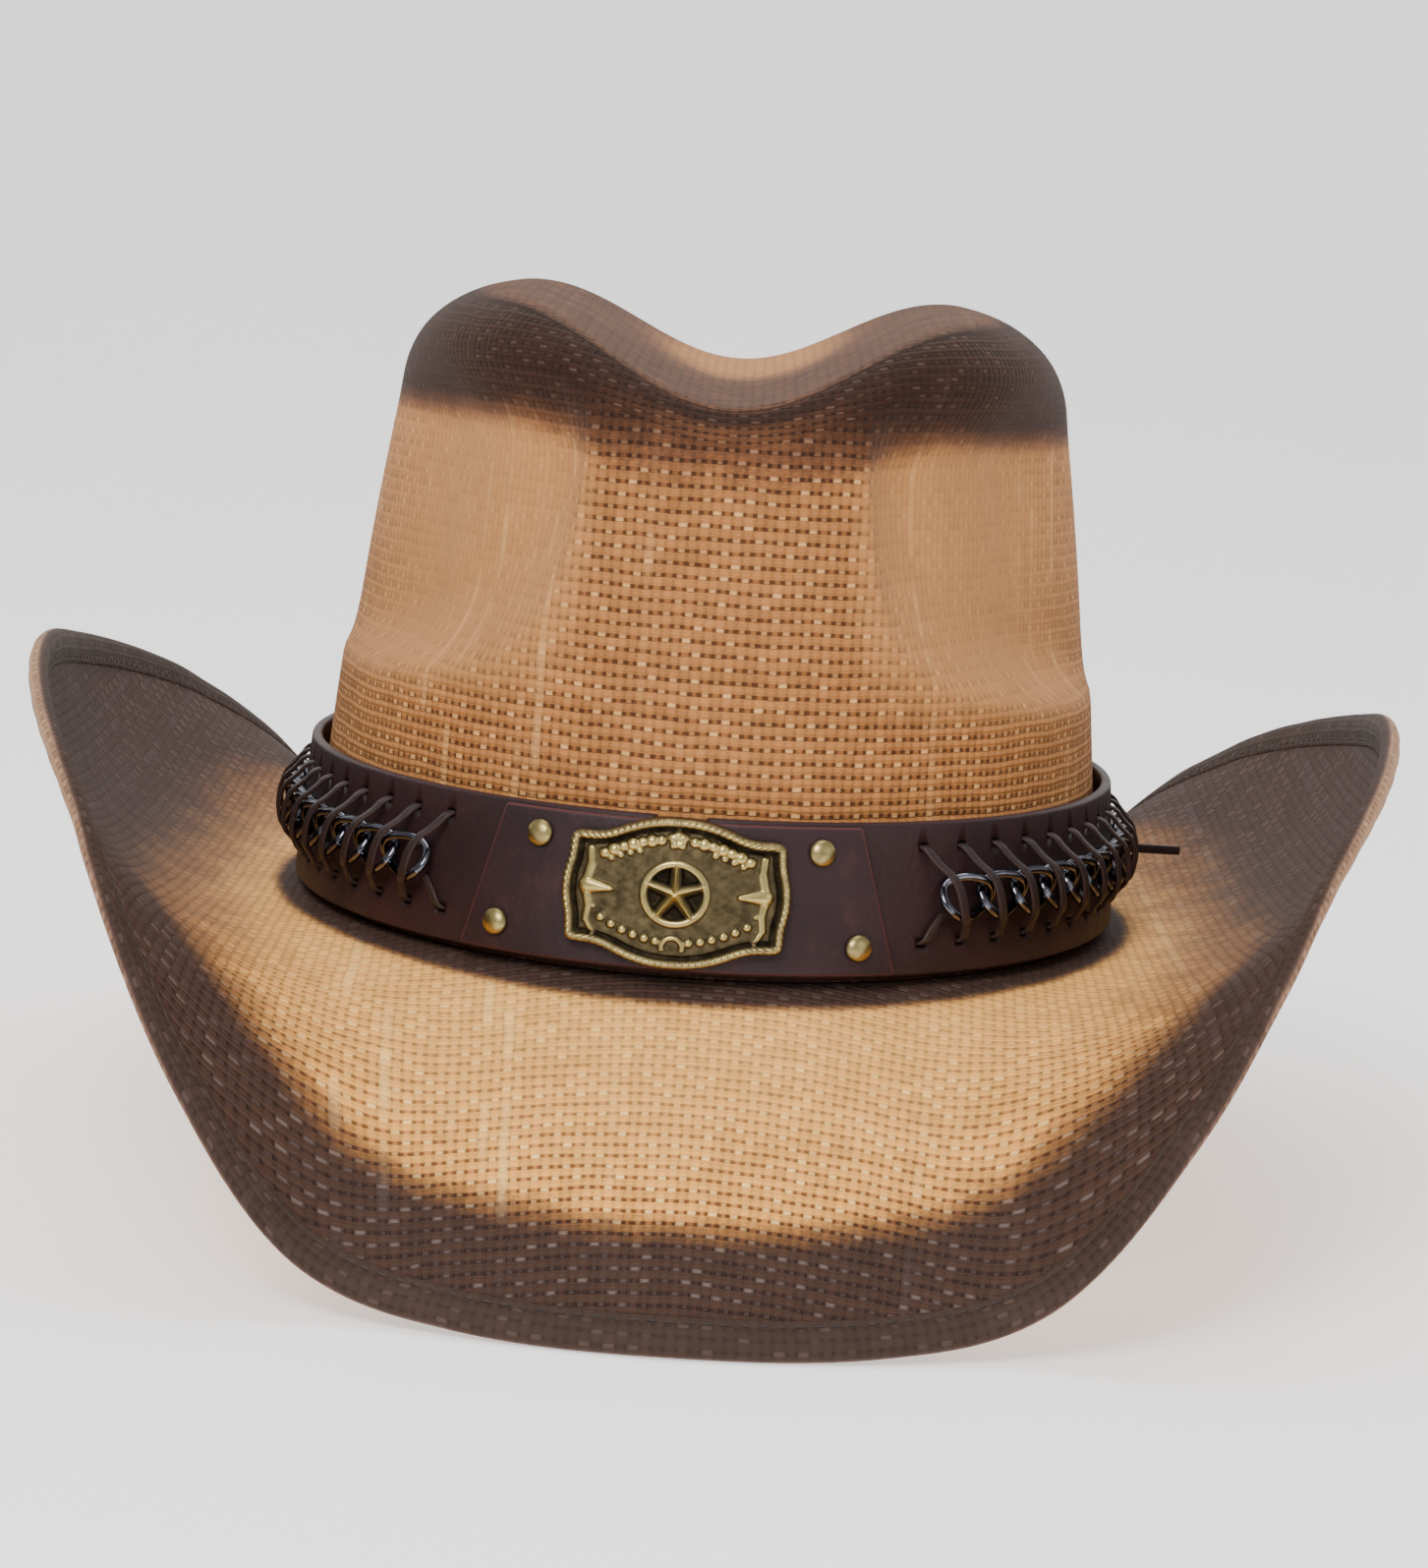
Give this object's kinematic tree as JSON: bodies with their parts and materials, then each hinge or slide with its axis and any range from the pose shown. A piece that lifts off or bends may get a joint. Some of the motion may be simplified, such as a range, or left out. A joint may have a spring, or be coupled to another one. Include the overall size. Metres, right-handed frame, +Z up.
{
  "type": "cowboy hat",
  "caption": "Woven straw cowboy hat with a creased crown, rolled and wired brim, sweatband, and a leather hatband with chain, thong lacing, rivets and a star concho.",
  "frame": {"origin": "under the middle of the hat, on the flat surface that its front and back brim dips stand on", "axes": "+Z up, +Y towards the back of the hat (the hat's front faces -Y), +X towards the wearer's left"},
  "size_m": [0.2976, 0.3486, 0.1877],
  "materials": {
    "straw": "coarse plain-woven paper straw, tan, airbrushed dark brown along the edges",
    "binding": "rolled woven edge, grey brown",
    "steel": "plain steel",
    "sweatband": "matt dark brown webbing",
    "leather": "dark oxblood brown, low sheen",
    "thong": "dark brown flat thong, low sheen",
    "brass": "antique cast brass, dark in the recesses",
    "gunmetal": "polished black plating"
  },
  "bodies": {
    "hat_body": {"crown": "straw", "brim": "straw", "brim_binding": "binding", "brim_wire": "steel", "sweatband": "sweatband"},
    "hatband": {"hatband_strap": "leather", "front_panel": "leather", "concho": "brass", "concho_screw": "steel", "rivet_upper_left": "brass", "rivet_upper_right": "brass", "rivet_lower_left": "brass", "rivet_lower_right": "brass", "lace_right": "thong", "lace_left": "thong", "chain_link_right_1": "gunmetal", "chain_link_right_2": "gunmetal", "chain_link_right_3": "gunmetal", "chain_link_right_4": "gunmetal", "chain_link_right_5": "gunmetal", "chain_link_right_6": "gunmetal", "chain_link_right_7": "gunmetal", "chain_link_right_8": "gunmetal", "chain_link_right_9": "gunmetal", "chain_link_right_10": "gunmetal", "chain_link_right_11": "gunmetal", "chain_link_right_12": "gunmetal", "chain_link_right_13": "gunmetal", "chain_link_right_14": "gunmetal", "chain_link_left_1": "gunmetal", "chain_link_left_2": "gunmetal", "chain_link_left_3": "gunmetal", "chain_link_left_4": "gunmetal", "chain_link_left_5": "gunmetal", "chain_link_left_6": "gunmetal", "chain_link_left_7": "gunmetal", "chain_link_left_8": "gunmetal", "chain_link_left_9": "gunmetal", "chain_link_left_10": "gunmetal", "chain_link_left_11": "gunmetal", "chain_link_left_12": "gunmetal", "chain_link_left_13": "gunmetal", "chain_link_left_14": "gunmetal"}
  },
  "joints": [
    {"name": "hatband_lift", "type": "slide", "parent": "hat_body", "child": "hatband", "axis": [0, 0, 1], "range_m": [0, 0.13]}
  ]
}
